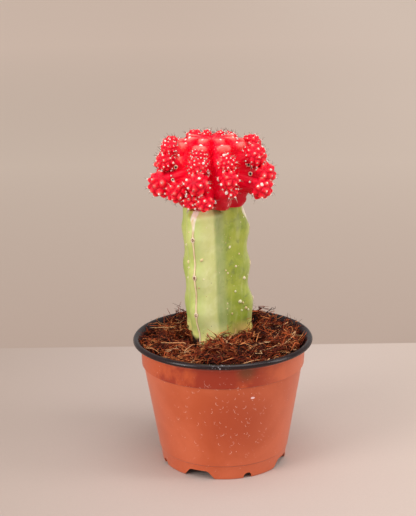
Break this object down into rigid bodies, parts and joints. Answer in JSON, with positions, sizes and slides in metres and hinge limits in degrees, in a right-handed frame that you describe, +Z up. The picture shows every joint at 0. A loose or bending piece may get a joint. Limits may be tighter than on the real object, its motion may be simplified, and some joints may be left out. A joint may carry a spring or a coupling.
{
  "type": "potted moon cactus",
  "caption": "Moon cactus: a ribbed red globe with knobbly offsets, grafted on a winged green stem in a round nursery pot filled with coir.",
  "frame": {"origin": "centre of the pot's foot, on the surface that it stands on", "axes": "+Z up along the pot's axis, -Y towards the front, where the stem's front wing and a groove of the head face"},
  "size_m": [0.104, 0.104, 0.1934],
  "materials": {
    "pot_plastic": "satin",
    "coir": "matte",
    "rootstock_skin": "satin",
    "scion_skin": "satin"
  },
  "bodies": {
    "root": {"pot": "pot_plastic", "coir_fill": "coir", "rootstock_stem": "rootstock_skin", "moon_scion": "scion_skin"}
  },
  "joints": []
}
